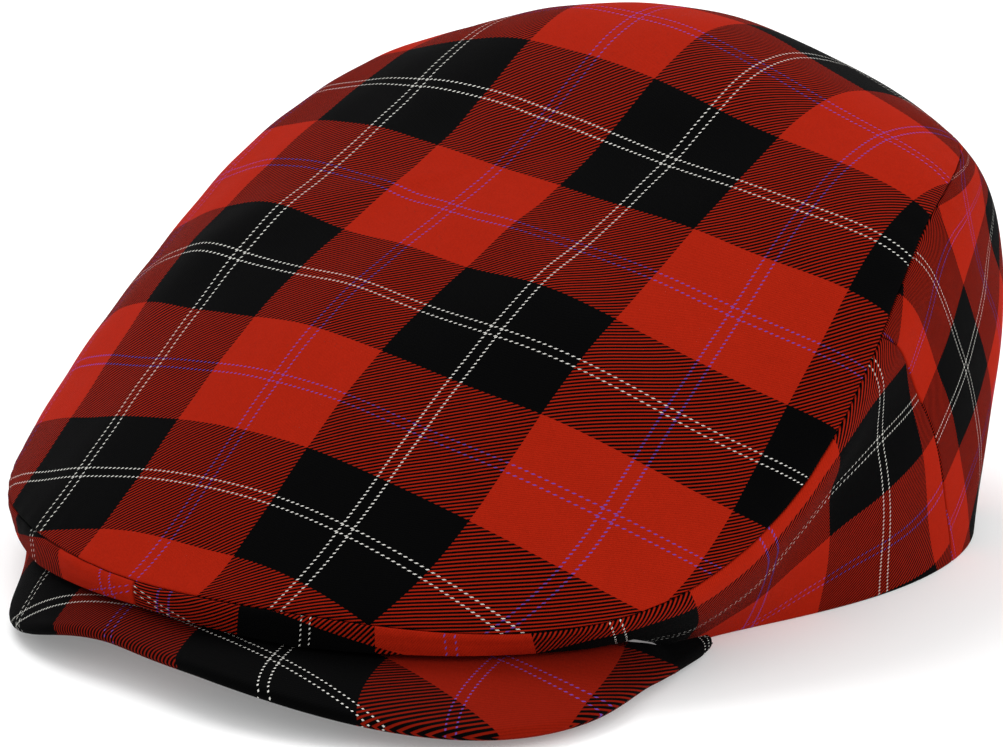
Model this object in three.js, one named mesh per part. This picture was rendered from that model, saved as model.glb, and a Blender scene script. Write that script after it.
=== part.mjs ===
import * as THREE from 'three';

// Flat cap in tartan cloth, five soft pieces. Millimetres, +Z up, front of the cap at -Y,
// wearer's left at +X. The cap stands by itself on its rim at z = 0.

// ---- driving dimensions ----
const WALL = 2.0;            // cloth wall of the crown pieces, outer cloth with its backing
const PEAK_THICK = 3.0;      // peak board with cloth on both faces
const SEAM_GAP = 0.45;       // gap kept between neighbouring pieces
const APEX_HEIGHT = 90.0;    // crown height over the middle of the head opening
const AXIS_Y = -0.42;         // middle of the head opening, front to back
const BACK_SEAM_TOP = 101;   // degrees round from the front where the side, top and back pieces meet
const BACK_SEAM_FOOT = 124;  // degrees round from the front where the back seam reaches the rim
const PEAK_END = 76;         // degrees round from the front where the peak runs out
const SIDE_COLUMNS = 24;     // facets along a side panel
const BACK_COLUMNS = 36;     // facets along the back panel
const APEX = 4;              // stations up a section: foot 0, hip 1, seam 2, crown 3, apex 4

// Upright sections of the crown, one row per direction round the middle of the head opening.
// at: degrees from the front (0) to the back (180), the same on both sides.
// hip: widest part of the side wall; seam: edge of the top panel; crown: half way up the top panel.
const CROWN_SECTIONS = [
  // at   hip_r  hip_z seam_r seam_z crown_r crown_z
  [0,     114.6,  18.0, 114.1,  20.9,  56.9,  65.5],
  [20,    112.4,  16.6, 112.0,  20.3,  57.6,  65.0],
  [40,    108.8,  14.6, 109.3,  17.6,  60.3,  65.7],
  [60,    103.5,  14.2, 106.2,  19.6,  63.9,  70.1],
  [72,    100.1,  16.0, 104.5,  27.2,  65.0,  72.6],
  [85,     96.8,  21.9, 102.8,  41.8,  65.1,  78.1],
  [100,    98.3,  32.6, 101.0,  64.2,  64.6,  86.4],
  [120,   109.5,  49.4, 102.4,  84.6,  63.2,  97.2],
  [140,   122.6,  63.0, 111.7,  89.8,  62.2, 107.1],
  [160,   127.8,  66.9, 117.3,  88.8,  62.4, 113.3],
  [180,   126.0,  66.8, 121.1,  89.4,  62.6, 115.3],
];

// Lower edge of the side and back walls: it stands on the peak at the front and on the surface behind it.
const FOOT_LINE = [
  // at   foot_r foot_z
  [0,     113.8,  15.0],
  [20,    112.2,  12.8],
  [40,    108.0,  12.0],
  [54,    101.6,  10.4],
  [61,     95.6,   9.2],
  [66,     88.5,   4.8],
  [70,     83.5,   0.0],
  [76,     81.8,   0.0],
  [85,     82.6,   0.0],
  [100,    90.4,   0.0],
  [120,   106.3,   0.0],
  [140,   116.8,   0.0],
  [160,   110.5,   0.0],
  [180,   106.5,   0.0],
];

// Peak, one row per direction. left and right are the wearer's; the soft cap sits slightly askew on its peak.
// edge: outer upper edge; join: where the front strip stands on it; inner: its hidden inner edge.
const PEAK_SECTIONS = [
  // at   left_r left_z right_r right_z join_r join_z inner_r inner_z
  [0,     123.0,  10.9, 123.0,  10.9, 111.4,  14.2,  93.0,  17.0],
  [15,    128.7,  11.0, 124.0,   4.4, 110.8,  12.5,  92.5,  15.4],
  [30,    133.1,   7.0, 110.0,   3.2, 106.6,  11.5,  90.0,  14.4],
  [45,    131.3,   4.6, 105.6,   3.8, 102.4,  10.7,  86.0,  13.4],
  [55,    118.9,   4.6, 103.2,   3.6,  98.8,   9.7,  86.5,   9.9],
  [61,    108.0,   4.4, 101.3,   3.7,  96.5,   8.5,  93.3,   7.5],
  [63.5,  104.6,   4.2, 100.0,   3.7,  96.6,   6.8,  94.0,   7.1],
  [66,    100.8,   4.0,  98.2,   3.8,  93.6,   5.4,  92.2,   5.6],
  [72,     93.6,   3.8,  93.2,   3.7,  89.2,   4.2,  88.0,   4.3],
  [76,     88.8,   3.6,  88.6,   3.6,  87.4,   3.7,  86.9,   3.8],
];

// Soft dents and folds pressed into the crown.
const FOLDS = [
  // at   station  depth  wide_deg tall
  { at: 6,   station: 2.18, depth: 1.2, wide: 7,  tall: 0.16 },   // short crease above the centre front seam
  { at: 92,  station: 1.05, depth: 1.6, wide: 10, tall: 0.50 },   // hollow of the left side wall
  { at: 268, station: 1.05, depth: 1.6, wide: 10, tall: 0.50 },   // hollow of the right side wall
  { at: 180, station: 1.00, depth: 1.5, wide: 14, tall: 0.45 },   // hollow in the middle of the back
];

// ---- curves ----
// Natural cubic through (xs, ys).
function cubic(xs, ys) {
  const n = xs.length, m = new Array(n).fill(0), c = new Array(n).fill(0), d = new Array(n).fill(0);
  for (let i = 1; i < n - 1; i++) {
    const h0 = xs[i] - xs[i - 1], h1 = xs[i + 1] - xs[i];
    const rhs = 6 * ((ys[i + 1] - ys[i]) / h1 - (ys[i] - ys[i - 1]) / h0);
    const w = 2 * (h0 + h1) - h0 * c[i - 1];
    c[i] = h1 / w;
    d[i] = (rhs - h0 * d[i - 1]) / w;
  }
  for (let i = n - 2; i > 0; i--) m[i] = d[i] - c[i] * m[i + 1];
  return (x) => {
    let k = 0;
    while (k < n - 2 && x > xs[k + 1]) k++;
    const h = xs[k + 1] - xs[k], a = (xs[k + 1] - x) / h, b = (x - xs[k]) / h;
    return a * ys[k] + b * ys[k + 1] + ((a * a * a - a) * m[k] + (b * b * b - b) * m[k + 1]) * h * h / 6;
  };
}

// A table's column as a smooth curve round the cap, the same on both sides.
function roundColumn(rows, column) {
  const before = rows.slice(1, 4).reverse().map((r) => [-r[0], r[column]]);
  const after = rows.slice(-4, -1).reverse().map((r) => [360 - r[0], r[column]]);
  const all = [...before, ...rows.map((r) => [r[0], r[column]]), ...after];
  const curve = cubic(all.map((r) => r[0]), all.map((r) => r[1]));
  return (deg) => {
    const a = Math.abs(((deg % 360) + 540) % 360 - 180);
    return curve(a);
  };
}

// The foot line: smooth behind the peak, straight runs over it, where it steps down at the peak's ends.
function footColumn(column) {
  const k = FOOT_LINE.findIndex((r) => r[0] >= 70), rear = FOOT_LINE.slice(k);
  const mirror = rear.slice(-3, -1).reverse().map((r) => [360 - r[0], r[column]]);
  const all = [...rear.map((r) => [r[0], r[column]]), ...mirror];
  const behind = cubic(all.map((r) => r[0]), all.map((r) => r[1]));
  return (deg) => {
    const a = Math.abs(((deg % 360) + 540) % 360 - 180);
    if (a >= rear[0][0]) return behind(a);
    let i = 0;
    while (a > FOOT_LINE[i + 1][0]) i++;
    const [p, q] = [FOOT_LINE[i], FOOT_LINE[i + 1]];
    return p[column] + (q[column] - p[column]) * (a - p[0]) / (q[0] - p[0]);
  };
}

const [hipR, hipZ, seamR, seamZ, crownR, crownZ] = [1, 2, 3, 4, 5, 6].map((c) => roundColumn(CROWN_SECTIONS, c));
const footR = footColumn(1), footZ = footColumn(2);

// Smooth line through points in a section plane, rounded by the distance between them, so that
// a short step next to a long one makes no bulge.
function throughPoints(points) {
  const n = points.length, past = (a, b) => [2 * a[0] - b[0], 2 * a[1] - b[1]];
  const p = [past(points[0], points[1]), ...points, past(points[n - 1], points[n - 2])];
  const gap = p.slice(1).map((q, i) => Math.sqrt(Math.max(Math.hypot(q[0] - p[i][0], q[1] - p[i][1]), 1e-6)));
  return (t) => {
    const k = Math.min(Math.floor(t), n - 2), f = t - k, [d0, d1, d2] = gap.slice(k, k + 3);
    return [0, 1].map((c) => {
      const [a, b, e, g] = [0, 1, 2, 3].map((i) => p[k + i][c]);
      const m1 = d1 * ((b - a) / d0 - (e - a) / (d0 + d1) + (e - b) / d1);
      const m2 = d1 * ((e - b) / d1 - (g - b) / (d1 + d2) + (g - e) / d2);
      const f2 = f * f, f3 = f2 * f;
      return (2 * f3 - 3 * f2 + 1) * b + (f3 - 2 * f2 + f) * m1 + (3 * f2 - 2 * f3) * e + (f3 - f2) * m2;
    });
  };
}

// The section at one direction runs from the foot over the apex to the far hip, so the top is smooth at the apex.
const sectionCache = new Map();
function section(deg) {
  const key = Math.round(deg * 1000);
  if (!sectionCache.has(key)) {
    const far = deg + 180;
    sectionCache.set(key, throughPoints([
      [footR(deg), footZ(deg)], [hipR(deg), hipZ(deg)], [seamR(deg), seamZ(deg)], [crownR(deg), crownZ(deg)],
      [0, APEX_HEIGHT],
      [-crownR(far), crownZ(far)], [-seamR(far), seamZ(far)], [-hipR(far), hipZ(far)],
    ]));
  }
  return sectionCache.get(key);
}

const around = (deg, r, z) => {
  const a = THREE.MathUtils.degToRad(deg);
  return new THREE.Vector3(r * Math.sin(a), AXIS_Y - r * Math.cos(a), z);
};

function smoothPoint(deg, t) {
  const [r, z] = section(deg)(t);
  return around(deg, r, z);
}

function foldDepth(deg, t) {
  let d = 0;
  for (const f of FOLDS) {
    const a = ((deg - f.at) % 360 + 540) % 360 - 180;
    d += f.depth * Math.exp(-((a / f.wide) ** 2) - (((t - f.station) / f.tall) ** 2));
  }
  return d;
}

function outward(deg, t) {
  const e = 0.02, tt = Math.min(t, APEX - 0.05);
  const u = smoothPoint(deg + 0.5, tt).sub(smoothPoint(deg - 0.5, tt));
  const v = smoothPoint(deg, tt + e).sub(smoothPoint(deg, Math.max(tt - e, 0)));
  return u.cross(v).normalize();
}

// Outer face of the crown, with its folds; the foot stays where the foot line puts it.
function crownPoint(deg, t) {
  return smoothPoint(deg, t).addScaledVector(outward(deg, t), -foldDepth(deg, t) * Math.min(1, t * 2));
}

// Inner face, one wall thickness in. At the foot the wall is cut level.
function crownInner(deg, t) {
  const n = outward(deg, t);
  if (t > 0) return crownPoint(deg, t).addScaledVector(n, -WALL);
  const level = new THREE.Vector3(n.x, n.y, 0);
  const k = WALL / Math.max(level.length(), 0.55);
  return crownPoint(deg, 0).addScaledVector(level.normalize(), -k);
}

// Station step that is half the seam gap long on the surface.
const halfGap = (deg, t) => (SEAM_GAP / 2) / (crownPoint(deg, t + 0.01).distanceTo(crownPoint(deg, t - 0.01)) / 0.02);

// ---- closed shells ----
// outer and inner are grids [row][column] of points; the shell closes them along all four edges,
// or only along the first and last row when the rows run right round.
function shell(outer, inner, ringed) {
  const rows = outer.length, cols = outer[0].length, pos = [], index = [];
  const put = (grid) => grid.forEach((row) => row.forEach((p) => pos.push(p.x, p.y, p.z)));
  put(outer); put(inner);
  const O = (i, j) => i * cols + (ringed ? j % cols : j), I = (i, j) => rows * cols + O(i, j);
  const quad = (a, b, c, d) => index.push(a, b, c, a, c, d);
  const last = ringed ? cols : cols - 1;
  for (let i = 0; i < rows - 1; i++) {
    for (let j = 0; j < last; j++) {
      quad(O(i, j), O(i, j + 1), O(i + 1, j + 1), O(i + 1, j));
      quad(I(i, j), I(i + 1, j), I(i + 1, j + 1), I(i, j + 1));
    }
  }
  for (let j = 0; j < last; j++) {
    quad(O(0, j + 1), O(0, j), I(0, j), I(0, j + 1));
    if (!ringed) quad(O(rows - 1, j), O(rows - 1, j + 1), I(rows - 1, j + 1), I(rows - 1, j));
  }
  if (!ringed) {
    for (let i = 0; i < rows - 1; i++) {
      quad(O(i, 0), O(i + 1, 0), I(i + 1, 0), I(i, 0));
      quad(O(i + 1, cols - 1), O(i, cols - 1), I(i, cols - 1), I(i + 1, cols - 1));
    }
  }
  return { pos, index, O, I, rows, cols };
}

function mesh(name, data, colour) {
  const g = new THREE.BufferGeometry();
  g.setAttribute('position', new THREE.Float32BufferAttribute(data.pos, 3));
  g.setIndex(data.index);
  g.computeVertexNormals();
  const m = new THREE.Mesh(g, new THREE.MeshStandardMaterial({ color: colour, roughness: 0.95 }));
  m.name = name;
  return m;
}

const steps = (n) => Array.from({ length: n + 1 }, (_, i) => i / n);

// Top panel: rings from the seam up to the apex, closed there by a fan on each face.
function topPanel() {
  const ringCount = 10, outer = [], inner = [];
  // the same directions as the wall pieces below the seam, so the faceted edges follow each other
  const side = steps(SIDE_COLUMNS).map((u) => BACK_SEAM_TOP * u);
  const back = steps(BACK_COLUMNS).map((u) => BACK_SEAM_TOP + (360 - 2 * BACK_SEAM_TOP) * u);
  const degrees = [...side, ...back.slice(1, -1), ...side.slice(1).reverse().map((d) => 360 - d)], columns = degrees.length;
  for (const f of steps(ringCount).slice(0, -1)) {
    const o = [], n = [];
    for (const deg of degrees) {
      const start = 2 + halfGap(deg, 2);
      const t = start + (APEX - start) * Math.pow(f, 0.95);
      o.push(crownPoint(deg, t));
      n.push(crownInner(deg, t));
    }
    outer.push(o); inner.push(n);
  }
  const s = shell(outer, inner, true), last = s.rows - 1, count = s.pos.length / 3;
  s.pos.push(0, AXIS_Y, APEX_HEIGHT);
  const n = outward(0, APEX);
  s.pos.push(-n.x * WALL, AXIS_Y - n.y * WALL, APEX_HEIGHT - n.z * WALL);
  for (let j = 0; j < columns; j++) {
    s.index.push(s.O(last, j), s.O(last, j + 1), count);
    s.index.push(s.I(last, j + 1), s.I(last, j), count + 1);
  }
  return s;
}

const backSeam = (t) => BACK_SEAM_FOOT + (BACK_SEAM_TOP - BACK_SEAM_FOOT) * (t / 2);

// A wall piece between two seams given in degrees for each station, from the foot to the top seam.
function wallPiece(from, to, columns, rowCount) {
  const outer = [], inner = [];
  for (const f of steps(rowCount)) {
    const o = [], n = [];
    for (const u of steps(columns)) {
      const tRough = 2 * f, degRough = from(tRough) + (to(tRough) - from(tRough)) * u;
      const t = f * (2 - halfGap(degRough, 2));
      const r = Math.max(section(degRough)(t)[0], 1);
      const edge = THREE.MathUtils.radToDeg(SEAM_GAP / 2 / r);
      const a = from(t) + edge, b = to(t) - edge, deg = a + (b - a) * u;
      o.push(crownPoint(deg, t));
      n.push(crownInner(deg, t));
    }
    outer.push(o); inner.push(n);
  }
  return shell(outer, inner, false);
}

// Peak: a curved plate. Each section is a smooth line through inner edge, join and outer edge.
function peakPlate() {
  const smooth = (c) => {
    const before = PEAK_SECTIONS.slice(1, 4).reverse().map((r) => [-r[0], r[c]]);
    const all = [...before, ...PEAK_SECTIONS.map((r) => [r[0], r[c]])];
    return cubic(all.map((r) => r[0]), all.map((r) => r[1]));
  };
  const plain = (c) => (deg) => {
    let k = 0;
    while (k < PEAK_SECTIONS.length - 2 && deg > PEAK_SECTIONS[k + 1][0]) k++;
    const a = PEAK_SECTIONS[k], b = PEAK_SECTIONS[k + 1], f = (deg - a[0]) / (b[0] - a[0]);
    return a[c] * (1 - f) + b[c] * f;
  };
  const [leftR, leftZ, rightR, rightZ] = [1, 2, 3, 4].map(smooth);
  const [joinR, joinZ, innerR, innerZ] = [5, 6, 7, 8].map(plain);
  const edgeAt = (deg) => {
    const a = Math.abs(deg), w = THREE.MathUtils.smoothstep(deg, -14, 14);
    return [leftR(a) * w + rightR(a) * (1 - w), leftZ(a) * w + rightZ(a) * (1 - w)];
  };
  const columns = 48, across = 6, top = [], under = [];
  const upper = (deg, s) => {
    const a = Math.abs(deg), [er, ez] = edgeAt(deg), ir = innerR(a), iz = innerZ(a), jr = joinR(a), jz = joinZ(a);
    const k = (jr - ir) / (er - ir);
    const r = ir + (er - ir) * s;
    const line = s < k ? iz + (jz - iz) * (s / k) : jz + (ez - jz) * Math.pow((s - k) / (1 - k), 1.25);
    return around(deg, r, line);
  };
  for (const s of steps(across)) {
    const o = [], n = [];
    for (const u of steps(columns)) {
      const deg = PEAK_END * (2 * u - 1), p = upper(deg, s);
      o.push(p);
      const e = 0.04, d = upper(deg, Math.min(s + e, 1)).sub(upper(deg, Math.max(s - e, 0)));
      const side = upper(deg + 1, s).sub(upper(deg - 1, s));
      const up = d.cross(side).normalize();
      if (up.z < 0) up.negate();
      const q = p.clone().addScaledVector(up, -PEAK_THICK);
      q.z = Math.max(q.z, 0);
      n.push(q);
    }
    top.unshift(o); under.unshift(n);
  }
  return shell(top, under, false);
}

const cap = new THREE.Group();
cap.name = 'flat_cap';
cap.add(mesh('top_panel', topPanel(), '#a3281a'));
cap.add(mesh('side_panel_left', wallPiece(() => 0, backSeam, SIDE_COLUMNS, 10), '#7d1f15'));
cap.add(mesh('side_panel_right', wallPiece((t) => -backSeam(t), () => 0, SIDE_COLUMNS, 10), '#7d1f15'));
cap.add(mesh('back_panel', wallPiece(backSeam, (t) => 360 - backSeam(t), BACK_COLUMNS, 10), '#5c1a12'));
cap.add(mesh('peak', peakPlate(), '#1c1413'));

export default cap;
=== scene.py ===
import bpy
import numpy as np
from mathutils import Matrix, Vector


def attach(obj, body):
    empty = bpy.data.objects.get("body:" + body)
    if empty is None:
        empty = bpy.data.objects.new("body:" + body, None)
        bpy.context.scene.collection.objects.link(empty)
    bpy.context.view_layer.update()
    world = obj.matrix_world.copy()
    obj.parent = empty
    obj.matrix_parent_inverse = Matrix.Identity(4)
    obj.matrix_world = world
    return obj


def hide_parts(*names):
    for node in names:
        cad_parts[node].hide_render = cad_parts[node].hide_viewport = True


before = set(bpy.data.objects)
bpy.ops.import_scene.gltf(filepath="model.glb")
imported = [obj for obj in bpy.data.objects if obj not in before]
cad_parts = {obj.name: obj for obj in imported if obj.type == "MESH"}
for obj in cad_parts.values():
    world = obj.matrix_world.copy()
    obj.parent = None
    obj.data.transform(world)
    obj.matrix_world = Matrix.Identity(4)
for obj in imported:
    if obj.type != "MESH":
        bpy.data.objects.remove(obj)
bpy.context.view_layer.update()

# Flat cap in tartan cloth. Metres in Blender; the surfaces below are worked out in millimetres
# in the frame's own coordinates: +Z up, front of the cap at -Y, wearer's left at +X.

# ---- finish ----
U_REPEATS = 30.0            # twill repeats in one colour band, warp way
V_REPEATS = 27.0            # weft way
LINE_WIDTH = 0.175          # half the width of a fine line, in repeats
DOT_LENGTH = 0.165          # half the length of its dots, in repeats
PAIR_OFFSET = 1.0           # each fine line lies this many repeats from the middle of its band
RED_COLOUR = (0.305, 0.0115, 0.0030)
BLACK_COLOUR = (0.0010, 0.0010, 0.0011)
WHITE_COLOUR = (0.62, 0.61, 0.57)
PURPLE_COLOUR = (0.125, 0.050, 0.30)
MIXED_SHADE = 0.84          # how far red yarns darken between black ones
FLOOR_SHADE = 0.80           # the ground is a lit white table
FLOOR_GLOW = 0.20
WORLD_STRENGTH = 0.95
KEY_POWER = 27.0
FILL_POWER = 19.0


# ---- the frame's surfaces, in millimetres, as the CAD part has them ----
WALL = 2.0
PEAK_THICK = 3.0
SEAM_GAP = 0.45
APEX_HEIGHT = 90.0
AXIS_Y = -0.42
BACK_SEAM_TOP = 101.0
BACK_SEAM_FOOT = 124.0
PEAK_END = 76.0
APEX = 4.0

CROWN_SECTIONS = np.array([
    # at   hip_r  hip_z seam_r seam_z crown_r crown_z
    [0,     114.6,  18.0, 114.1,  20.9,  56.9,  65.5],
    [20,    112.4,  16.6, 112.0,  20.3,  57.6,  65.0],
    [40,    108.8,  14.6, 109.3,  17.6,  60.3,  65.7],
    [60,    103.5,  14.2, 106.2,  19.6,  63.9,  70.1],
    [72,    100.1,  16.0, 104.5,  27.2,  65.0,  72.6],
    [85,     96.8,  21.9, 102.8,  41.8,  65.1,  78.1],
    [100,    98.3,  32.6, 101.0,  64.2,  64.6,  86.4],
    [120,   109.5,  49.4, 102.4,  84.6,  63.2,  97.2],
    [140,   122.6,  63.0, 111.7,  89.8,  62.2, 107.1],
    [160,   127.8,  66.9, 117.3,  88.8,  62.4, 113.3],
    [180,   126.0,  66.8, 121.1,  89.4,  62.6, 115.3],
])
FOOT_LINE = np.array([
    # at   foot_r foot_z
    [0,     113.8,  15.0],
    [20,    112.2,  12.8],
    [40,    108.0,  12.0],
    [54,    101.6,  10.4],
    [61,     95.6,   9.2],
    [66,     88.5,   4.8],
    [70,     83.5,   0.0],
    [76,     81.8,   0.0],
    [85,     82.6,   0.0],
    [100,    90.4,   0.0],
    [120,   106.3,   0.0],
    [140,   116.8,   0.0],
    [160,   110.5,   0.0],
    [180,   106.5,   0.0],
])
PEAK_SECTIONS = np.array([
    # at   left_r left_z right_r right_z join_r join_z inner_r inner_z
    [0,     123.0,  10.9, 123.0,  10.9, 111.4,  14.2,  93.0,  17.0],
    [15,    128.7,  11.0, 124.0,   4.4, 110.8,  12.5,  92.5,  15.4],
    [30,    133.1,   7.0, 110.0,   3.2, 106.6,  11.5,  90.0,  14.4],
    [45,    131.3,   4.6, 105.6,   3.8, 102.4,  10.7,  86.0,  13.4],
    [55,    118.9,   4.6, 103.2,   3.6,  98.8,   9.7,  86.5,   9.9],
    [61,    108.0,   4.4, 101.3,   3.7,  96.5,   8.5,  93.0,   7.9],
    [63.5,  104.6,   4.2, 100.0,   3.7,  96.6,   6.9,  93.4,   7.3],
    [66,    100.8,   4.0,  98.2,   3.8,  93.6,   5.4,  92.2,   5.6],
    [72,     93.6,   3.8,  93.2,   3.7,  89.2,   4.2,  88.0,   4.3],
    [76,     88.8,   3.6,  88.6,   3.6,  87.4,   3.7,  86.9,   3.8],
])
FOLDS = [
    # at, station, depth, wide in degrees, tall in stations
    (6.0, 2.18, 1.2, 7.0, 0.16),
    (92.0, 1.05, 1.6, 10.0, 0.50),
    (268.0, 1.05, 1.6, 10.0, 0.50),
    (180.0, 1.00, 1.5, 14.0, 0.45),
]


def natural_cubic(xs, ys):
    xs, ys = np.asarray(xs, float), np.asarray(ys, float)
    n = len(xs)
    a, b = np.zeros((n, n)), np.zeros(n)
    a[0, 0] = a[-1, -1] = 1
    for i in range(1, n - 1):
        h0, h1 = xs[i] - xs[i - 1], xs[i + 1] - xs[i]
        a[i, i - 1], a[i, i], a[i, i + 1] = h0, 2 * (h0 + h1), h1
        b[i] = 6 * ((ys[i + 1] - ys[i]) / h1 - (ys[i] - ys[i - 1]) / h0)
    m = np.linalg.solve(a, b)

    def at(x):
        x = np.asarray(x, float)
        k = np.clip(np.searchsorted(xs, x, side="left") - 1, 0, n - 2)
        h = xs[k + 1] - xs[k]
        p, q = (xs[k + 1] - x) / h, (x - xs[k]) / h
        return p * ys[k] + q * ys[k + 1] + ((p ** 3 - p) * m[k] + (q ** 3 - q) * m[k + 1]) * h * h / 6
    return at


def fold_angle(deg):
    """Degrees from the front, 0 to 180, the same on both sides."""
    return np.abs((np.asarray(deg, float) % 360 + 540) % 360 - 180)


def round_column(rows, c):
    before = [(-r[0], r[c]) for r in rows[3:0:-1]]
    after = [(360 - r[0], r[c]) for r in rows[-2:-5:-1]]
    pts = before + [(r[0], r[c]) for r in rows] + after
    curve = natural_cubic([p[0] for p in pts], [p[1] for p in pts])
    return lambda deg: curve(fold_angle(deg))


def foot_column(c):
    rear = FOOT_LINE[FOOT_LINE[:, 0] >= 70]
    mirror = [(360 - r[0], r[c]) for r in rear[-2:-4:-1]]
    pts = [(r[0], r[c]) for r in rear] + mirror
    behind = natural_cubic([p[0] for p in pts], [p[1] for p in pts])

    def at(deg):
        a = fold_angle(deg)
        return np.where(a >= rear[0][0], behind(np.maximum(a, rear[0][0])), np.interp(a, FOOT_LINE[:, 0], FOOT_LINE[:, c]))
    return at


hip_r, hip_z, seam_r, seam_z, crown_r, crown_z = [round_column(CROWN_SECTIONS, c) for c in range(1, 7)]
foot_r, foot_z = foot_column(1), foot_column(2)


def section(deg, t):
    """Radius and height of the crown's outer line at a direction and a station (arrays of one shape)."""
    deg, t = np.broadcast_arrays(np.asarray(deg, float), np.asarray(t, float))
    shape = deg.shape
    deg, t = deg.ravel(), t.ravel()
    far = deg + 180
    zero = np.zeros_like(deg)
    p = np.stack([
        np.stack([foot_r(deg), foot_z(deg)], -1), np.stack([hip_r(deg), hip_z(deg)], -1),
        np.stack([seam_r(deg), seam_z(deg)], -1), np.stack([crown_r(deg), crown_z(deg)], -1),
        np.stack([zero, zero + APEX_HEIGHT], -1),
        np.stack([-crown_r(far), crown_z(far)], -1), np.stack([-seam_r(far), seam_z(far)], -1),
        np.stack([-hip_r(far), hip_z(far)], -1)], 1)
    p = np.concatenate([2 * p[:, :1] - p[:, 1:2], p, 2 * p[:, -1:] - p[:, -2:-1]], 1)
    gap = np.sqrt(np.maximum(np.linalg.norm(np.diff(p, axis=1), axis=2), 1e-6))
    k = np.clip(np.floor(t).astype(int), 0, 6)
    f = (t - k)[:, None]
    n = np.arange(len(t))
    a, b, e, g = [p[n, k + i] for i in range(4)]
    d0, d1, d2 = [gap[n, k + i][:, None] for i in range(3)]
    m1 = d1 * ((b - a) / d0 - (e - a) / (d0 + d1) + (e - b) / d1)
    m2 = d1 * ((e - b) / d1 - (g - b) / (d1 + d2) + (g - e) / d2)
    f2, f3 = f * f, f * f * f
    out = (2 * f3 - 3 * f2 + 1) * b + (f3 - 2 * f2 + f) * m1 + (3 * f2 - 2 * f3) * e + (f3 - f2) * m2
    return out[:, 0].reshape(shape), out[:, 1].reshape(shape)


def around(deg, r, z):
    a = np.radians(deg)
    return np.stack([r * np.sin(a), AXIS_Y - r * np.cos(a), z + 0 * a], -1)


def smooth_point(deg, t):
    return around(deg, *section(deg, t))


def unit(v):
    return v / np.maximum(np.linalg.norm(v, axis=-1, keepdims=True), 1e-9)


def outward(deg, t):
    e = 0.02
    deg, t = np.broadcast_arrays(np.asarray(deg, float), np.asarray(t, float))
    tt = np.minimum(t, APEX - 0.05)
    u = smooth_point(deg + 0.5, tt) - smooth_point(deg - 0.5, tt)
    v = smooth_point(deg, tt + e) - smooth_point(deg, np.maximum(tt - e, 0))
    return unit(np.cross(u, v))


def fold_depth(deg, t):
    d = 0
    for at, station, depth, wide, tall in FOLDS:
        a = ((np.asarray(deg) - at) % 360 + 540) % 360 - 180
        d = d + depth * np.exp(-((a / wide) ** 2) - (((t - station) / tall) ** 2))
    return d


def crown_point(deg, t):
    return smooth_point(deg, t) - outward(deg, t) * (fold_depth(deg, t) * np.minimum(1, np.asarray(t) * 2))[..., None]


def back_seam(t):
    return BACK_SEAM_FOOT + (BACK_SEAM_TOP - BACK_SEAM_FOOT) * (np.asarray(t) / 2)


def _peak_columns():
    def smooth(c):
        pts = [(-r[0], r[c]) for r in PEAK_SECTIONS[3:0:-1]] + [(r[0], r[c]) for r in PEAK_SECTIONS]
        return natural_cubic([p[0] for p in pts], [p[1] for p in pts])
    return [smooth(c) for c in range(1, 5)]


_peak_smooth = _peak_columns()


def peak_rails(deg):
    a = np.abs(deg)
    left_r, left_z, right_r, right_z = [f(a) for f in _peak_smooth]
    w = np.clip((deg + 14) / 28, 0, 1)
    w = w * w * (3 - 2 * w)
    join_r, join_z, inner_r, inner_z = [np.interp(a, PEAK_SECTIONS[:, 0], PEAK_SECTIONS[:, c]) for c in range(5, 9)]
    return left_r * w + right_r * (1 - w), left_z * w + right_z * (1 - w), join_r, join_z, inner_r, inner_z


def peak_upper(deg, s):
    """Upper face of the peak: s runs from 0 at the hidden inner edge to 1 at the outer edge."""
    er, ez, jr, jz, ir, iz = peak_rails(deg)
    k = (jr - ir) / (er - ir)
    r = ir + (er - ir) * s
    g = np.clip((s - k) / (1 - k), 0, None)
    z = np.where(s < k, iz + (jz - iz) * (s / np.maximum(k, 1e-9)), jz + (ez - jz) * g ** 1.25)
    return around(deg, r, z)


# ---- cloth maps: powers of the chart's two coordinates, then the two band coordinates ----
TOP_MAP = np.array([
    [0, 0, -0.09497, 3.46655],
    [0, 1, 0.00981, 3.00482],
    [0, 2, 0.46340, -0.71052],
    [0, 3, 0.20496, 0.13132],
    [0, 4, -0.60422, 0.39923],
    [0, 5, -0.13625, 0.01175],
    [0, 6, 0.24091, -0.08535],
    [1, 0, 2.51670, 0.29578],
    [1, 1, -0.24306, 0.15694],
    [1, 2, 0.13529, -0.67653],
    [1, 3, 0.25604, 0.08287],
    [1, 4, -0.00501, 0.25940],
    [1, 5, -0.03173, -0.02707],
    [2, 0, 0.59264, -0.50178],
    [2, 1, 0.22319, 0.75651],
    [2, 2, -1.12068, 0.47945],
    [2, 3, -0.38579, -0.33531],
    [2, 4, 0.66244, 0.03155],
    [3, 0, -0.12677, -0.31549],
    [3, 1, 1.33166, -0.37304],
    [3, 2, 0.00360, 0.44771],
    [3, 3, -0.63686, -0.11553],
    [4, 0, -0.53227, -0.32307],
    [4, 1, 0.04969, -0.47628],
    [4, 2, 0.53373, -0.05163],
    [5, 0, 0.09622, 0.04205],
    [5, 1, -0.48944, 0.26240],
    [6, 0, 0.17443, 0.07851],
])
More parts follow.
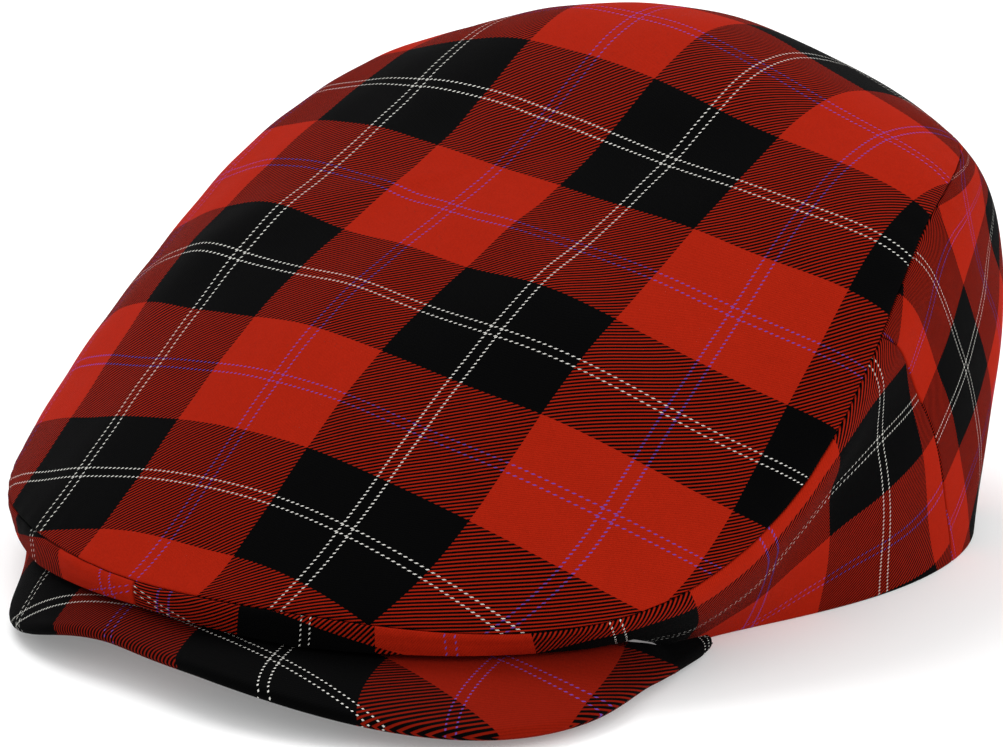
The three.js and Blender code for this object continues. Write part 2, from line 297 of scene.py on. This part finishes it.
SIDE_MAP = np.array([
    [0, 0, -1.00094, -0.65017],
    [0, 1, -1.36338, 1.34659],
    [0, 2, 3.30190, 10.43538],
    [0, 3, -1.16601, -0.89436],
    [1, 0, 1.47002, 2.43603],
    [1, 1, -1.71589, -0.89468],
    [1, 2, 1.64404, -7.16386],
    [1, 3, -2.78666, -3.89261],
    [2, 0, 5.05077, -2.75372],
    [2, 1, 4.51776, -2.81077],
    [2, 2, 0.28424, -2.29876],
    [2, 3, -1.83176, -1.40477],
    [3, 0, -7.05983, 4.76772],
    [3, 1, -0.31958, 7.54275],
    [3, 2, -1.72171, 2.84474],
    [3, 3, 1.89059, 2.31172],
    [4, 0, 4.25566, -6.13924],
    [4, 1, -1.89814, -3.85765],
    [4, 2, 0.42775, -0.87466],
    [5, 0, -1.18311, 3.04701],
    [5, 1, 0.62255, 0.55121],
    [6, 0, 0.12391, -0.50196],
])
PEAK_MAP = np.array([
    [0, 0, 0.13352, 0.29310],
    [0, 1, 0.09285, 2.94630],
    [0, 2, -1.72034, 2.24459],
    [0, 3, 1.82666, -0.75617],
    [0, 4, 0.17398, 0.08457],
    [1, 0, 2.56807, -0.12183],
    [1, 1, -0.27569, 0.52361],
    [1, 2, 1.59915, -1.99519],
    [1, 3, 1.23658, 0.88714],
    [2, 0, -0.65343, 0.49449],
    [2, 1, 4.08227, -1.48521],
    [2, 2, -2.78876, -1.48025],
    [3, 0, 1.07743, -0.29586],
    [3, 1, -2.53745, 0.06018],
    [4, 0, -0.74438, 0.15278],
])

# ---- charts for the cloth's pattern: band coordinates over each panel ----
_dd = np.arange(-181, 181.5, 0.5)
_mid = smooth_point(_dd, 1.0 + 0 * _dd)
_arc = np.concatenate([[0], np.cumsum(np.linalg.norm(np.diff(_mid, axis=0), axis=1))])
_arc -= np.interp(0, _dd, _arc)
_tt = np.linspace(0, 2.02, 41)
_DD = np.arange(-181, 361.5, 1.0)
_PP = smooth_point(_DD[:, None], _tt[None, :])
_HH = np.concatenate([np.zeros((len(_DD), 1)), np.cumsum(np.linalg.norm(np.diff(_PP, axis=1), axis=2), axis=1)], 1)


def wall_chart(d, t):
    """Length round the wall from the front and height up it, in 100 mm."""
    d, t = np.asarray(d, float), np.asarray(t, float)
    length = np.interp(np.where(d > 180, d - 360, d), _dd, _arc)
    length = np.where(d > 180, length + _arc[-3] - _arc[2], length)
    i = np.clip(np.floor(d - _DD[0]).astype(int), 0, len(_DD) - 2)
    fi = d - _DD[i]
    j = np.clip(np.floor(t / _tt[1]).astype(int), 0, len(_tt) - 2)
    fj = t / _tt[1] - j
    h = (_HH[i, j] * (1 - fj) + _HH[i, j + 1] * fj) * (1 - fi) + (_HH[i + 1, j] * (1 - fj) + _HH[i + 1, j + 1] * fj) * fi
    return length / 100, (h + foot_z(d)) / 100

# length of steep cloth beyond the plan, summed out from the apex, for the crown top's flat chart
_TT = np.linspace(1.88, APEX, 160)
_TD = np.arange(0, 361, 2.0)
_tr, _tz = section(_TD[:, None] + 0 * _TT[None, :], _TT[None, :] + 0 * _TD[:, None])
_step = np.hypot(np.diff(_tr, axis=1), np.diff(_tz, axis=1)) - 1.15 * np.abs(np.diff(_tr, axis=1))
_step = np.maximum(_step, 0)[:, ::-1]
_EXTRA = np.concatenate([np.zeros((len(_TD), 1)), np.cumsum(_step, axis=1)], 1)[:, ::-1]


def top_chart(deg, t):
    """The crown top laid flat: its plan, pushed outward where the cloth turns steeply down; 100 mm."""
    deg, t = np.broadcast_arrays(np.asarray(deg, float) % 360, np.asarray(t, float))
    i = np.clip(np.floor(deg / 2).astype(int), 0, len(_TD) - 2)
    fi = deg / 2 - i
    w = (t - _TT[0]) / (_TT[1] - _TT[0])
    j = np.clip(np.floor(w).astype(int), 0, len(_TT) - 2)
    fj = w - j
    extra = (_EXTRA[i, j] * (1 - fj) + _EXTRA[i, j + 1] * fj) * (1 - fi) + (_EXTRA[i + 1, j] * (1 - fj) + _EXTRA[i + 1, j + 1] * fj) * fi
    p = crown_point(deg, t)
    a = np.radians(deg)
    return (p[..., 0] + extra * np.sin(a)) / 100, (p[..., 1] - extra * np.cos(a)) / 100


def bands(table, x, y):
    u = sum(r[2] * x ** r[0] * y ** r[1] for r in table)
    v = sum(r[3] * x ** r[0] * y ** r[1] for r in table)
    return u, v


# In every panel the black bands are centred on odd numbers and the red ones on even numbers.
def top_bands(deg, t):
    u, v = bands(TOP_MAP, *top_chart(deg, t))
    return u, v + 1


def left_bands(deg, t):
    u, v = bands(SIDE_MAP, *wall_chart(deg, t))
    return u + 1, v + 1


def right_bands(deg, t):
    u, v = bands(SIDE_MAP, *wall_chart(-deg, t))
    return 1 - u, v


def back_bands(deg, t):
    x, y = wall_chart(deg, t)
    dx, dy = 100 * x - 234.3, 100 * y - 48.5
    # near the top seam the cloth is drawn round towards the back
    high = (np.maximum(dy - 18, 0) / 21.5) ** 2 * np.exp(-(np.maximum(dx - 45, 0) / 95) ** 2)
    drawn = high * np.maximum(0.55 + 0.02 * np.minimum(dx, 45), 0)
    lifted = high * 0.009 * np.clip(dx, 0, 45)
    dy = dy + 0.278 * dx * np.exp(-(dx / 40) ** 2)
    across, along = dx / 31.3 - drawn, 1 + dy / 39 + lifted
    return along + across, along - across


def peak_bands(deg, s):
    p = peak_upper(deg, s)
    u, v = bands(PEAK_MAP, p[..., 0] / 100, p[..., 1] / 100 + 1)
    return u, v + 1


# ---- cloth shape: soft unevenness in the surface, slight puckers beside the seams ----
def waves(p):
    x, y, z = p[..., 0], p[..., 1], p[..., 2]
    w = 0.20 * np.sin(0.105 * x + 0.061 * y + 0.9) * np.sin(0.083 * y - 0.04 * z + 0.4)
    w = w + 0.12 * np.sin(0.21 * x - 0.12 * y + 0.09 * z + 2.0) + 0.08 * np.sin(0.27 * y + 0.19 * z + 0.16 * x + 0.3)
    return w


def arc_to_station(deg, t0, t1, n=33):
    """Station as a function of length along the section, for a list of directions."""
    t = t0 + (t1 - t0) * np.linspace(0, 1, n)[None, :]
    p = smooth_point(np.broadcast_to(deg[:, None], (len(deg), n)), np.broadcast_to(t, (len(deg), n)))
    s = np.concatenate([np.zeros((len(deg), 1)), np.cumsum(np.linalg.norm(np.diff(p, axis=1), axis=2), axis=1)], 1)
    return t, s


ROLL = np.radians([90, 68, 46, 24, 0])
GAP = 0.06          # half the gap left between two neighbouring panels, mm
EDGE = 0.55         # how far the cloth rolls in at a seam, mm


def rolled(length, radius, n, ends=(True, True)):
    """Distances from the first edge, and from each edge, closer together where the cloth rolls over."""
    edge = radius * (1 - np.sin(ROLL))
    a = edge if ends[0] else np.array([0.0])
    b = (length - edge[::-1]) if ends[1] else np.array([length])
    mid = np.linspace(a[-1], b[0], n + 2)[1:-1]
    return np.concatenate([a, mid, b])


def inner_depth(depth, thick, radius):
    return thick - depth * (thick - radius) / radius


def depth_of(d1, d2, radius):
    p1, p2 = np.maximum(radius - d1, 0), np.maximum(radius - d2, 0)
    return radius - np.sqrt(np.maximum(radius ** 2 - p1 ** 2 - p2 ** 2, 0))


def cloth_point(deg, t, depth, pucker, foot=None):
    n = outward(deg, t)
    p = crown_point(deg, t)
    lift = waves(p) + pucker
    lift = lift * np.clip(np.asarray(t) * 3, 0, 1)
    if foot is not None:
        level = unit(n * np.array([1, 1, 0]))
        n2 = unit(n * (1 - foot[..., None]) + level * foot[..., None])
        out = p + n * lift[..., None] - n2 * depth[..., None]
        out[..., 2] = np.maximum(out[..., 2], 0.05)
        return out
    return p + n * (lift - depth)[..., None]


def mesh_object(name, outer, inner, uv_out, ring=False, apex=None):
    """A closed shell. outer and inner share their border points; apex closes a ring."""
    rows, cols = outer.shape[:2]
    count = rows * cols
    index_out = np.arange(count).reshape(rows, cols)
    index_in = index_out + count
    border = np.zeros((rows, cols), bool)
    border[0] = True
    if not ring:
        border[-1] = True
        border[:, 0] = border[:, -1] = True
    index_in = np.where(border, index_out, index_in)
    verts = np.concatenate([outer.reshape(-1, 3), inner.reshape(-1, 3)])
    uv = np.concatenate([uv_out.reshape(-1, 2), uv_out.reshape(-1, 2)])

    def quads(ix, flip):
        a, b = ix[:-1], ix[1:]
        if ring:
            a1, b1 = np.roll(a, -1, 1), np.roll(b, -1, 1)
        else:
            a, b, a1, b1 = a[:, :-1], b[:, :-1], ix[:-1, 1:], ix[1:, 1:]
        q = np.stack([a, a1, b1, b], -1).reshape(-1, 4)
        return q[:, ::-1] if flip else q
    faces = np.concatenate([quads(index_out, False), quads(index_in, True)])
    tris = []
    if apex is not None:
        verts = np.concatenate([verts, apex[0]])
        uv = np.concatenate([uv, apex[1]])
        k = 2 * count
        for j in range(cols):
            j1 = (j + 1) % cols
            tris.append((index_out[-1, j], index_out[-1, j1], k))
            tris.append((index_in[-1, j1], index_in[-1, j], k + 1))
    used = np.zeros(len(verts), bool)
    used[faces.ravel()] = True
    for f in tris:
        used[list(f)] = True
    new = np.cumsum(used) - 1
    verts, uv = verts[used] * 0.001, uv[used]
    all_faces = [tuple(int(new[i]) for i in f) for f in faces] + [tuple(int(new[i]) for i in f) for f in tris]
    me = bpy.data.meshes.new(name)
    me.from_pydata([tuple(map(float, v)) for v in verts], [], all_faces)
    me.update()
    layer = me.uv_layers.new(name="bands")
    loops = np.zeros(len(me.loops), np.int32)
    me.loops.foreach_get("vertex_index", loops)
    layer.data.foreach_set("uv", uv[loops].astype(np.float32).ravel())
    me.polygons.foreach_set("use_smooth", np.ones(len(me.polygons), bool))
    me.update()
    ob = bpy.data.objects.new(name, me)
    bpy.context.scene.collection.objects.link(ob)
    return ob


def top_shell():
    cols, n = 420, 110
    deg = np.arange(cols) * 360 / cols
    t, s = arc_to_station(deg, 2.0, APEX, 129)
    radius = EDGE
    W = []
    D = np.broadcast_to(deg, (len(rolled(1, radius, n, (True, False))), cols)).copy()
    S = np.zeros_like(D)
    for j in range(cols):
        dist = rolled(s[j, -1] - GAP, radius, n, (True, False)) + GAP
        D[:, j] = deg[j]
        S[:, j] = np.interp(dist, s[j], t[0])
        W.append(dist - GAP)
    W = np.stack(W, 1)[:-1]
    D, S = D[:-1], S[:-1]
    depth = depth_of(W, 99 + 0 * W, radius)
    along = np.radians(D) * 105
    pucker = 0.10 * np.exp(-W / 5.0) * np.sin(along * 0.83 + 1.3 * np.sin(along * 0.11))
    outer = cloth_point(D, S, depth, pucker)
    inner = cloth_point(D, S, inner_depth(depth, WALL, radius), pucker)
    uv = np.stack(top_bands(D, S), -1)
    a = smooth_point(np.array([0.0]), np.array([APEX]))
    nrm = outward(np.array([0.0]), np.array([APEX]))
    lift = waves(a)[..., None]
    au = np.stack(top_bands(np.array([0.0]), np.array([APEX])), -1)
    return mesh_object("crown_top", outer, inner, uv, ring=True, apex=(np.concatenate([a + nrm * lift, a + nrm * (lift - WALL)]), np.concatenate([au, au])))


def wall_shell(name, start, end, cols, n, band_fn):
    radius = EDGE
    # column distances are set from a mid-wall width, then spread between the two seams
    u = np.linspace(0, 1, cols + 1)
    deg0 = start(1.0) + (end(1.0) - start(1.0)) * u
    width = np.linalg.norm(np.diff(smooth_point(deg0, 1 + 0 * deg0), axis=0), axis=1).sum()
    dist_c = rolled(width, radius, cols)
    uc = dist_c / width
    rows = len(rolled(10.0, radius, n))
    D, T, W = np.zeros((rows, len(uc))), np.zeros((rows, len(uc))), np.zeros((rows, len(uc)))
    t = np.linspace(0, 2, 65)
    r = np.maximum(section(0.5 * (start(t) + end(t)), t)[0], 1)
    a, b = start(t) + np.degrees(GAP / r), end(t) - np.degrees(GAP / r)
    for j in range(len(uc)):
        # each column follows the slant of the two seams it lies between
        d = a + (b - a) * uc[j]
        p = smooth_point(d, t)
        s = np.concatenate([[0], np.cumsum(np.linalg.norm(np.diff(p, axis=0), axis=1))])
        dist = rolled(s[-1] - GAP, radius, n)
        T[:, j] = np.interp(dist, s, t)
        D[:, j] = np.interp(T[:, j], t, d)
        W[:, j] = np.minimum(dist, dist[-1] - dist)
    edge_c = np.minimum(dist_c, width - dist_c)[None, :] + 0 * W
    depth = depth_of(W, edge_c, radius)
    along = np.radians(D) * 105
    upper = np.clip((T - 1.0), 0, 1)
    pucker = 0.10 * np.exp(-W / 5.0) * upper * np.sin(along * 0.83 + 1.3 * np.sin(along * 0.11))
    foot = np.clip(1 - T * 4, 0, 1)
    outer = cloth_point(D, T, depth, pucker, foot)
    inner = cloth_point(D, T, inner_depth(depth, WALL, radius), pucker, foot)
    # the border is one line of points for both faces
    uv = np.stack(band_fn(D, T), -1)
    return mesh_object(name, outer, inner, uv)


def peak_shell():
    cols, n = 300, 34
    radius = PEAK_THICK / 2
    ang = np.linspace(-PEAK_END, PEAK_END, cols + 1)
    length = 2 * PEAK_END * np.pi / 180 * 108
    dist_c = rolled(length, radius, cols)
    deg = -PEAK_END + 2 * PEAK_END * dist_c / length
    er, ez, jr, jz, ir, iz = peak_rails(deg)
    rows = len(rolled(10.0, radius, n))
    S, W = np.zeros((rows, len(deg))), np.zeros((rows, len(deg)))
    F = np.zeros_like(S)
    for j in range(len(deg)):
        width = er[j] - ir[j]
        rad = min(radius, width * 0.45)
        dist = rolled(width, rad, n)
        S[:, j] = 1 - dist / width
        # round at the outer edge; the hidden inner edge stays nearly square, close under the crown
        W[:, j] = np.minimum(dist * radius / rad, (dist[-1] - dist) * radius / 0.3)
        F[:, j] = np.where(dist < width / 2, radius * 0.9 / width, 0)
    D = np.broadcast_to(deg, S.shape)
    e = 0.03
    p = peak_upper(D, S)
    d_s = peak_upper(D, np.minimum(S + e, 1)) - peak_upper(D, np.maximum(S - e, 0))
    d_d = peak_upper(np.minimum(D + 1, PEAK_END), S) - peak_upper(np.maximum(D - 1, -PEAK_END), S)
    nrm = unit(np.cross(d_s, d_d))
    nrm = np.where(nrm[..., 2:] < 0, -nrm, nrm)
    edge_c = np.minimum(dist_c, length - dist_c)[None, :] + 0 * W
    depth = depth_of(W, edge_c, radius)
    outer = p - nrm * depth[..., None]
    inner = p - nrm * (PEAK_THICK - depth)[..., None]
    inner[..., 2] = np.maximum(inner[..., 2], 0.05)
    outer[..., 2] = np.maximum(outer[..., 2], 0.05)
    # the pattern runs on over the rounded edge
    uv = np.stack(peak_bands(D, S + F * depth / radius), -1)
    return mesh_object("peak_cloth", outer, inner, uv)


# ---- cloth ----
def tartan(name, painted_shade_scale, fine=1.0):
    """fine: how much closer the twill runs than on the crown. The second argument scales the red yarn down as painted
    shade; 1.0 leaves it unshaded.
    """
    u_repeats, v_repeats = U_REPEATS * fine, V_REPEATS * fine
    m = bpy.data.materials.new(name)
    m.use_nodes = True
    nt = m.node_tree
    nt.nodes.clear()
    out = nt.nodes.new("ShaderNodeOutputMaterial")
    bsdf = nt.nodes.new("ShaderNodeBsdfPrincipled")
    nt.links.new(bsdf.outputs[0], out.inputs[0])
    bsdf.inputs["Roughness"].default_value = 0.92
    bsdf.inputs["Specular IOR Level"].default_value = 0.02
    bsdf.inputs["Sheen Weight"].default_value = 0.003
    bsdf.inputs["Sheen Roughness"].default_value = 0.5

    def math(op, a, b=None, c=None, clamp=False):
        n = nt.nodes.new("ShaderNodeMath")
        n.operation = op
        n.use_clamp = clamp
        for i, x in enumerate((a, b, c)):
            if x is None:
                continue
            if isinstance(x, (int, float)):
                n.inputs[i].default_value = x
            else:
                nt.links.new(x, n.inputs[i])
        return n.outputs[0]

    def mix(fac, a, b):
        n = nt.nodes.new("ShaderNodeMix")
        n.data_type = "RGBA"
        for sock, x in ((n.inputs[0], fac), (n.inputs[6], a), (n.inputs[7], b)):
            if isinstance(x, (int, float)):
                sock.default_value = x
            elif isinstance(x, tuple):
                sock.default_value = (*x, 1)
            else:
                nt.links.new(x, sock)
        return n.outputs[2]

    uvn = nt.nodes.new("ShaderNodeUVMap")
    uvn.uv_map = "bands"
    sep = nt.nodes.new("ShaderNodeSeparateXYZ")
    nt.links.new(uvn.outputs[0], sep.inputs[0])
    u, v = sep.outputs[0], sep.outputs[1]
    coord = nt.nodes.new("ShaderNodeTexCoord")

    def noise(scale, detail, vector=None):
        n = nt.nodes.new("ShaderNodeTexNoise")
        n.inputs["Scale"].default_value = scale
        n.inputs["Detail"].default_value = detail
        nt.links.new(vector or coord.outputs["Object"], n.inputs["Vector"])
        return n.outputs[0]

    fibre = noise(2600.0, 2.0)
    slub = noise(420.0, 2.0)
    broad = noise(28.0, 2.0)
    # the red yarn is scaled down here as painted shade (0.61 on the peak); the black stays as it is
    RED, BLACK = tuple(c * painted_shade_scale for c in RED_COLOUR), BLACK_COLOUR

    def yarn(x, per_band, on_top):
        near = math("FLOOR", math("ADD", x, 0.5))
        off = math("SUBTRACT", x, near)                      # -0.5 to 0.5 across the band
        dark = math("MODULO", math("ABSOLUTE", near), 2.0)   # 1 in a black band
        pair = math("ABSOLUTE", math("SUBTRACT", math("ABSOLUTE", math("MULTIPLY", off, per_band)), PAIR_OFFSET))
        line = math("LESS_THAN", pair, LINE_WIDTH)
        base = mix(dark, RED, BLACK)
        thin = mix(dark, PURPLE_COLOUR, WHITE_COLOUR)
        return mix(math("MULTIPLY", line, on_top), base, thin), dark

    d = math("FRACT", math("SUBTRACT", math("MULTIPLY", u, u_repeats), math("MULTIPLY", v, v_repeats)))
    # a fine line shows as short dots, where its own yarns lie well on top
    warp = yarn(u, u_repeats, math("LESS_THAN", math("ABSOLUTE", math("SUBTRACT", d, 0.25)), DOT_LENGTH))
    weft = yarn(v, v_repeats, math("LESS_THAN", math("ABSOLUTE", math("SUBTRACT", d, 0.75)), DOT_LENGTH))
    warp, warp_dark = warp
    weft, weft_dark = weft
    # the black yarn is a little fuller than the red, so it covers a little more
    limit = math("ADD", 0.5, math("MULTIPLY", math("SUBTRACT", weft_dark, warp_dark), -0.07))
    wob = math("MULTIPLY", math("SUBTRACT", slub, 0.5), 0.10)
    over = math("LESS_THAN", math("ADD", d, wob), limit)
    colour = mix(over, weft, warp)
    # shade of the single yarns, fibres and slow changes in the dye
    light = math("ADD", 0.74, math("ADD", math("MULTIPLY", fibre, 0.34), math("MULTIPLY", slub, 0.10)))
    light = math("MULTIPLY", light, math("ADD", 0.97, math("MULTIPLY", broad, 0.06)))
    mixed = math("ABSOLUTE", math("SUBTRACT", weft_dark, warp_dark))
    light = math("MULTIPLY", light, math("SUBTRACT", 1.0, math("MULTIPLY", mixed, 1.0 - MIXED_SHADE)))
    # painted shade and light along each yarn: lighter on its crest, darker where it dives under the other
    dive = math("ABSOLUTE", math("SUBTRACT", math("FRACT", math("MULTIPLY", d, 2.0)), 0.5))
    light = math("MULTIPLY", light, math("SUBTRACT", 1.10, math("MULTIPLY", math("POWER", dive, 2.0), 1.10)))
    vm = nt.nodes.new("ShaderNodeVectorMath")
    vm.operation = "SCALE"
    nt.links.new(colour, vm.inputs[0])
    nt.links.new(light, vm.inputs["Scale"])
    nt.links.new(vm.outputs[0], bsdf.inputs["Base Color"])
    # bump: twill ridges, single threads across them, fibres
    ridge = math("SINE", math("MULTIPLY", math("FRACT", math("MULTIPLY", d, 2.0)), 3.14159))
    thread_u = math("SINE", math("MULTIPLY", u, u_repeats * 4 * 3.14159))
    thread_v = math("SINE", math("MULTIPLY", v, v_repeats * 4 * 3.14159))
    thread = math("ADD", math("MULTIPLY", over, math("ABSOLUTE", thread_u)), math("MULTIPLY", math("SUBTRACT", 1.0, over), math("ABSOLUTE", thread_v)))
    height = math("ADD", math("ADD", math("MULTIPLY", ridge, 0.6), math("MULTIPLY", thread, 0.35)), math("MULTIPLY", fibre, 0.5))
    bump = nt.nodes.new("ShaderNodeBump")
    bump.inputs["Strength"].default_value = 0.5
    bump.inputs["Distance"].default_value = 0.00012
    nt.links.new(height, bump.inputs["Height"])
    nt.links.new(bump.outputs[0], bsdf.inputs["Normal"])
    return m


def dress(ob, node, material):
    ob.data.materials.append(material)
    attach(ob, "root")
    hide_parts(node)


dress(top_shell(), "top_panel", tartan("tartan_top", 1.0))
dress(wall_shell("side_left_cloth", lambda t: 0.0 * np.asarray(t), back_seam, 300, 70, left_bands), "side_panel_left", tartan("tartan_side_left", 1.0))
dress(wall_shell("side_right_cloth", lambda t: -back_seam(t), lambda t: 0.0 * np.asarray(t), 300, 70, right_bands), "side_panel_right", tartan("tartan_side_right", 1.0))
dress(wall_shell("back_cloth", back_seam, lambda t: 360 - back_seam(t), 340, 80, back_bands), "back_panel", tartan("tartan_back", 1.0))
# the peak's red is darkened to 0.61 as painted shade, for the shade the peak lies in
dress(peak_shell(), "peak", tartan("tartan_peak", 0.61, 1.2))


# ---- floor, lights, camera ----
def floor():
    me = bpy.data.meshes.new("floor")
    n, ring = 96, 9.0
    verts = [(ring * np.cos(2 * np.pi * i / n), ring * np.sin(2 * np.pi * i / n), 0.0) for i in range(n)]
    me.from_pydata(verts, [], [tuple(range(n))])
    ob = bpy.data.objects.new("floor", me)
    bpy.context.scene.collection.objects.link(ob)
    m = bpy.data.materials.new("floor_table")
    m.use_nodes = True
    b = m.node_tree.nodes["Principled BSDF"]
    b.inputs["Base Color"].default_value = (FLOOR_SHADE, FLOOR_SHADE, FLOOR_SHADE, 1)
    b.inputs["Emission Color"].default_value = (1, 1, 1, 1)
    b.inputs["Emission Strength"].default_value = FLOOR_GLOW
    b.inputs["Roughness"].default_value = 0.95
    b.inputs["Specular IOR Level"].default_value = 0.1
    me.materials.append(m)


floor()
scene = bpy.context.scene
scene.view_settings.view_transform = "Standard"
world = bpy.data.worlds.new("studio")
scene.world = world
world.use_nodes = True
world.node_tree.nodes["Background"].inputs[0].default_value = (1, 1, 1, 1)
world.node_tree.nodes["Background"].inputs[1].default_value = WORLD_STRENGTH


def area(name, place, target, size, power):
    data = bpy.data.lights.new(name, "AREA")
    data.shape = "DISK"
    data.size = size
    data.energy = power
    ob = bpy.data.objects.new(name, data)
    scene.collection.objects.link(ob)
    ob.location = place
    ob.rotation_euler = (Vector(target) - Vector(place)).to_track_quat("-Z", "Y").to_euler()
    return ob


area("key", (-1.2, 0.2, 1.9), (0, 0, 0.05), 1.6, KEY_POWER)
area("fill", (1.9, 0.9, 0.85), (0, 0, 0.05), 1.6, FILL_POWER)

az, el, roll = np.radians([40.588, 17.551, 0.41])
back = np.array([np.sin(az) * np.cos(el), -np.cos(az) * np.cos(el), np.sin(el)])
right = np.array([np.cos(az), np.sin(az), 0])
up = np.cross(back, right)
right, up = np.cos(roll) * right + np.sin(roll) * up, -np.sin(roll) * right + np.cos(roll) * up
cam_data = bpy.data.cameras.new("camera")
cam_data.sensor_fit = "HORIZONTAL"
cam_data.sensor_width = 36.0
cam_data.lens = 182.39
cam_data.clip_start, cam_data.clip_end = 0.05, 40
cam = bpy.data.objects.new("camera", cam_data)
scene.collection.objects.link(cam)
cam.matrix_world = Matrix((
    (right[0], up[0], back[0], 0.7286),
    (right[1], up[1], back[1], -0.84387),
    (right[2], up[2], back[2], 0.3932),
    (0, 0, 0, 1)))
scene.camera = cam
